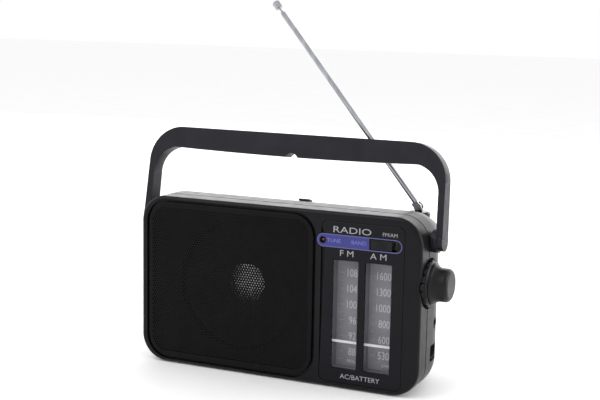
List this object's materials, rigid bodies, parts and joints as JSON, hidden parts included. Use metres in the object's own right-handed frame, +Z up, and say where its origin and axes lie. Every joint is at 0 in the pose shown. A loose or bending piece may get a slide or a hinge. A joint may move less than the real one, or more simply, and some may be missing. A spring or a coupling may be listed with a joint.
{
  "type": "tabletop radio",
  "caption": "Portable AM/FM tabletop radio with a folding carrying handle, telescopic antenna, speaker grille, pointer dial and coaxial side knobs.",
  "frame": {"origin": "on the resting plane, under the middle of the overall width, handle and knob included, and under the middle of the case's depth", "axes": "+X to the radio's right (the knob side), +Y to its back, +Z up; the speaker and dial face -Y"},
  "size_m": [0.2366, 0.0667, 0.2612],
  "materials": {
    "case_plastic": "fine satin grain",
    "rear_plastic": "fine satin grain",
    "grille_metal": "black paint on perforated steel",
    "lens_black": "gloss, black print behind a clear lens",
    "frame_black": "matt black",
    "scale_grey": "matt grey print",
    "pointer_white": "matt",
    "steel": "plain",
    "chrome": "polished",
    "lamp_red": "translucent",
    "knob_plastic": "satin",
    "switch_plastic": "satin",
    "switch_body": "plated",
    "inner_plastic": "moulded, natural colour",
    "cord": "braided",
    "handle_plastic": "satin",
    "speaker_steel": "plain",
    "cap_metal": "pressed aluminium",
    "paper_black": "pressed paper",
    "copper": "lacquered wire",
    "magnet": "ferrite",
    "board": "phenolic board",
    "can_metal": "plain",
    "chip_black": "matt",
    "capacitor_sleeve": "shrink sleeve",
    "transformer_steel": "laminated",
    "socket_black": "moulded",
    "turret_black": "black, satin",
    "foot_rubber": "matt"
  },
  "bodies": {
    "case": {"front_shell": "case_plastic", "rear_shell": "rear_plastic", "speaker_grille": "grille_metal", "dial_lens": "lens_black", "dial_frame": "frame_black", "scale_plate": "scale_grey", "pointer_rail": "steel", "tuning_lamp": "lamp_red", "band_switch": "switch_body", "power_switch": "switch_body", "volume_control": "switch_body", "dial_chassis": "inner_plastic", "dial_cord": "cord", "tuning_capacitor": "inner_plastic", "handle_pivots": "steel", "speaker_frame": "speaker_steel", "speaker_magnet": "magnet", "speaker_screws": "steel", "main_board": "board", "ferrite_rod": "magnet", "ferrite_holders": "inner_plastic", "power_transformer": "transformer_steel", "smoothing_capacitors": "capacitor_sleeve", "audio_chip": "chip_black", "coil_cans": "can_metal", "earphone_jack": "socket_black", "ac_inlet": "socket_black", "inlet_pins": "steel", "battery_springs": "steel", "battery_contacts": "steel", "case_screws": "steel", "rubber_feet": "foot_rubber"},
    "handle": {"handle": "handle_plastic"},
    "antenna_turret": {"antenna_base": "turret_black", "antenna_pin": "chrome"},
    "antenna_outer": {"antenna_tube": "chrome"},
    "antenna_middle": {"antenna_middle_section": "chrome"},
    "antenna_inner": {"antenna_inner_section": "chrome"},
    "antenna_end": {"antenna_tip": "chrome"},
    "tuning": {"tuning_knob": "knob_plastic"},
    "volume": {"volume_knob": "knob_plastic", "volume_shaft": "steel"},
    "pointer": {"dial_pointer": "pointer_white"},
    "drum": {"drive_drum": "inner_plastic"},
    "idler_lower": {"lower_idler": "inner_plastic"},
    "idler_left": {"left_idler": "inner_plastic"},
    "idler_right": {"right_idler": "inner_plastic"},
    "band": {"band_knob": "switch_plastic"},
    "power": {"power_knob": "switch_plastic"},
    "cone": {"speaker_cone": "paper_black", "dust_cap": "cap_metal", "voice_coil": "copper"},
    "door": {"battery_door": "rear_plastic"}
  },
  "joints": [
    {"name": "handle_fold", "type": "hinge", "parent": "case", "child": "handle", "pos_m": [-0.0035, -0.0103, 0.1048], "axis": [-1, 0, 0], "range_deg": [-96, 7]},
    {"name": "antenna_swivel", "type": "hinge", "parent": "case", "child": "antenna_turret", "pos_m": [0.0825, 0.017, 0.118], "axis": [0, 0, -1], "range_deg": [0, 190]},
    {"name": "antenna_tilt", "type": "hinge", "parent": "antenna_turret", "child": "antenna_outer", "pos_m": [0.0825, 0.017, 0.122], "axis": [0, 1, 0], "range_deg": [-50.8, 39.2]},
    {"name": "antenna_pull_1", "type": "slide", "parent": "antenna_outer", "child": "antenna_middle", "axis": [-0.632, 0, 0.7749], "range_m": [0, 0.145]},
    {"name": "antenna_pull_2", "type": "slide", "parent": "antenna_middle", "child": "antenna_inner", "axis": [-0.632, 0, 0.7749], "range_m": [0, 0.143]},
    {"name": "antenna_pull_3", "type": "slide", "parent": "antenna_inner", "child": "antenna_end", "axis": [-0.632, 0, 0.7749], "range_m": [0, 0.143]},
    {"name": "tuning_turn", "type": "hinge", "parent": "case", "child": "tuning", "pos_m": [0.1035, -0.0154, 0.0764], "axis": [1, 0, 0], "range_deg": [-163.7, 818.51]},
    {"name": "pointer_slide", "type": "slide", "parent": "case", "child": "pointer", "axis": [0, 0, 1], "range_m": [-0.01005, 0.05005]},
    {"name": "drum_turn", "type": "hinge", "parent": "case", "child": "drum", "pos_m": [0.0725, -0.0189, 0.034], "axis": [0, 1, 0], "range_deg": [-29, 143.6]},
    {"name": "idler_lower_turn", "type": "hinge", "parent": "case", "child": "idler_lower", "pos_m": [0.0385, -0.0189, 0.018], "axis": [0, 1, 0], "range_deg": [-143.6, 716.6]},
    {"name": "idler_left_turn", "type": "hinge", "parent": "case", "child": "idler_left", "pos_m": [0.0385, -0.0189, 0.1], "axis": [0, 1, 0], "range_deg": [-143.6, 716.6]},
    {"name": "idler_right_turn", "type": "hinge", "parent": "case", "child": "idler_right", "pos_m": [0.0885, -0.0189, 0.1], "axis": [0, 1, 0], "range_deg": [-143.6, 716.6]},
    {"name": "volume_turn", "type": "hinge", "parent": "case", "child": "volume", "pos_m": [0.1145, -0.0154, 0.0764], "axis": [1, 0, 0], "range_deg": [-100, 200]},
    {"name": "band_slide", "type": "slide", "parent": "case", "child": "band", "axis": [1, 0, 0], "range_m": [0, 0.003]},
    {"name": "power_slide", "type": "slide", "parent": "case", "child": "power", "axis": [1, 0, 0], "range_m": [0, 0.006]},
    {"name": "cone_travel", "type": "slide", "parent": "case", "child": "cone", "axis": [0, -1, 0], "range_m": [-0.0008, 0.0008], "stiffness_N_per_m": 1500},
    {"name": "battery_door_swing", "type": "hinge", "parent": "case", "child": "door", "pos_m": [-0.0035, 0.0319, 0.0215], "axis": [-1, 0, 0], "range_deg": [0, 95]}
  ],
  "couplings": [
    {"joint": "pointer_slide", "follows": "tuning_turn", "m_per_rad": 0.0035},
    {"joint": "drum_turn", "follows": "tuning_turn", "ratio": 0.175},
    {"joint": "idler_lower_turn", "follows": "tuning_turn", "ratio": 0.875},
    {"joint": "idler_left_turn", "follows": "tuning_turn", "ratio": 0.875},
    {"joint": "idler_right_turn", "follows": "tuning_turn", "ratio": 0.875}
  ]
}
